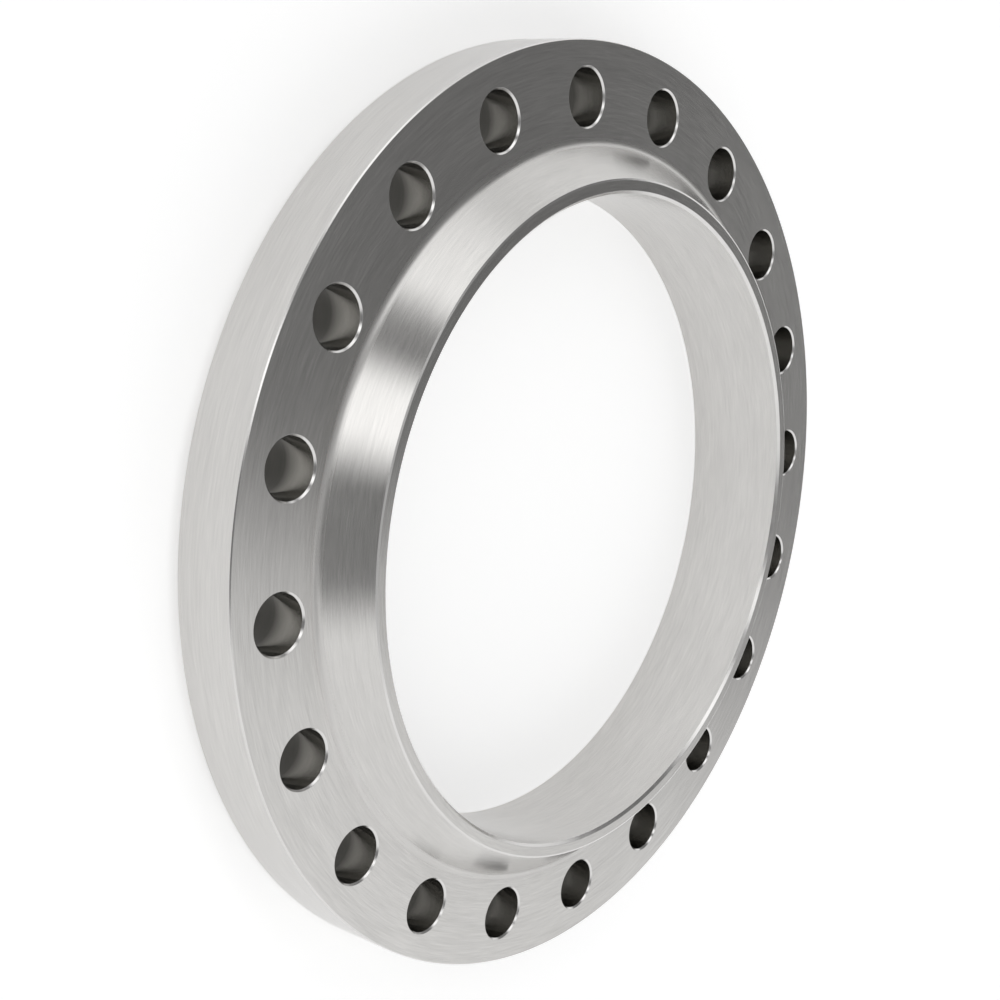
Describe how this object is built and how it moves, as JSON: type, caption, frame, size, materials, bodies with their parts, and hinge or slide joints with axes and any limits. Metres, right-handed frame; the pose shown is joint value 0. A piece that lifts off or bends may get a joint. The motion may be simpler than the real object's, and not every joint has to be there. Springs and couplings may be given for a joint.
{
  "type": "weld-neck pipe flange",
  "caption": "Thick round steel flange with a through bore, a short tapered weld neck, a raised gasket face and a full circle of chamfered bolt holes.",
  "frame": {"origin": "on the bore's axis, in the plane of the raised face, which is the lowest plane of the part as it lies on that face", "axes": "+Z along the bore's axis, from the raised face towards the neck's end; +X and +Y pass midway between two bolt holes"},
  "size_m": [0.833, 0.833, 0.104],
  "materials": {
    "brushed_stainless": "bright brushed, turned marks running round the axis"
  },
  "bodies": {
    "root": {"flange": "brushed_stainless"}
  },
  "joints": []
}
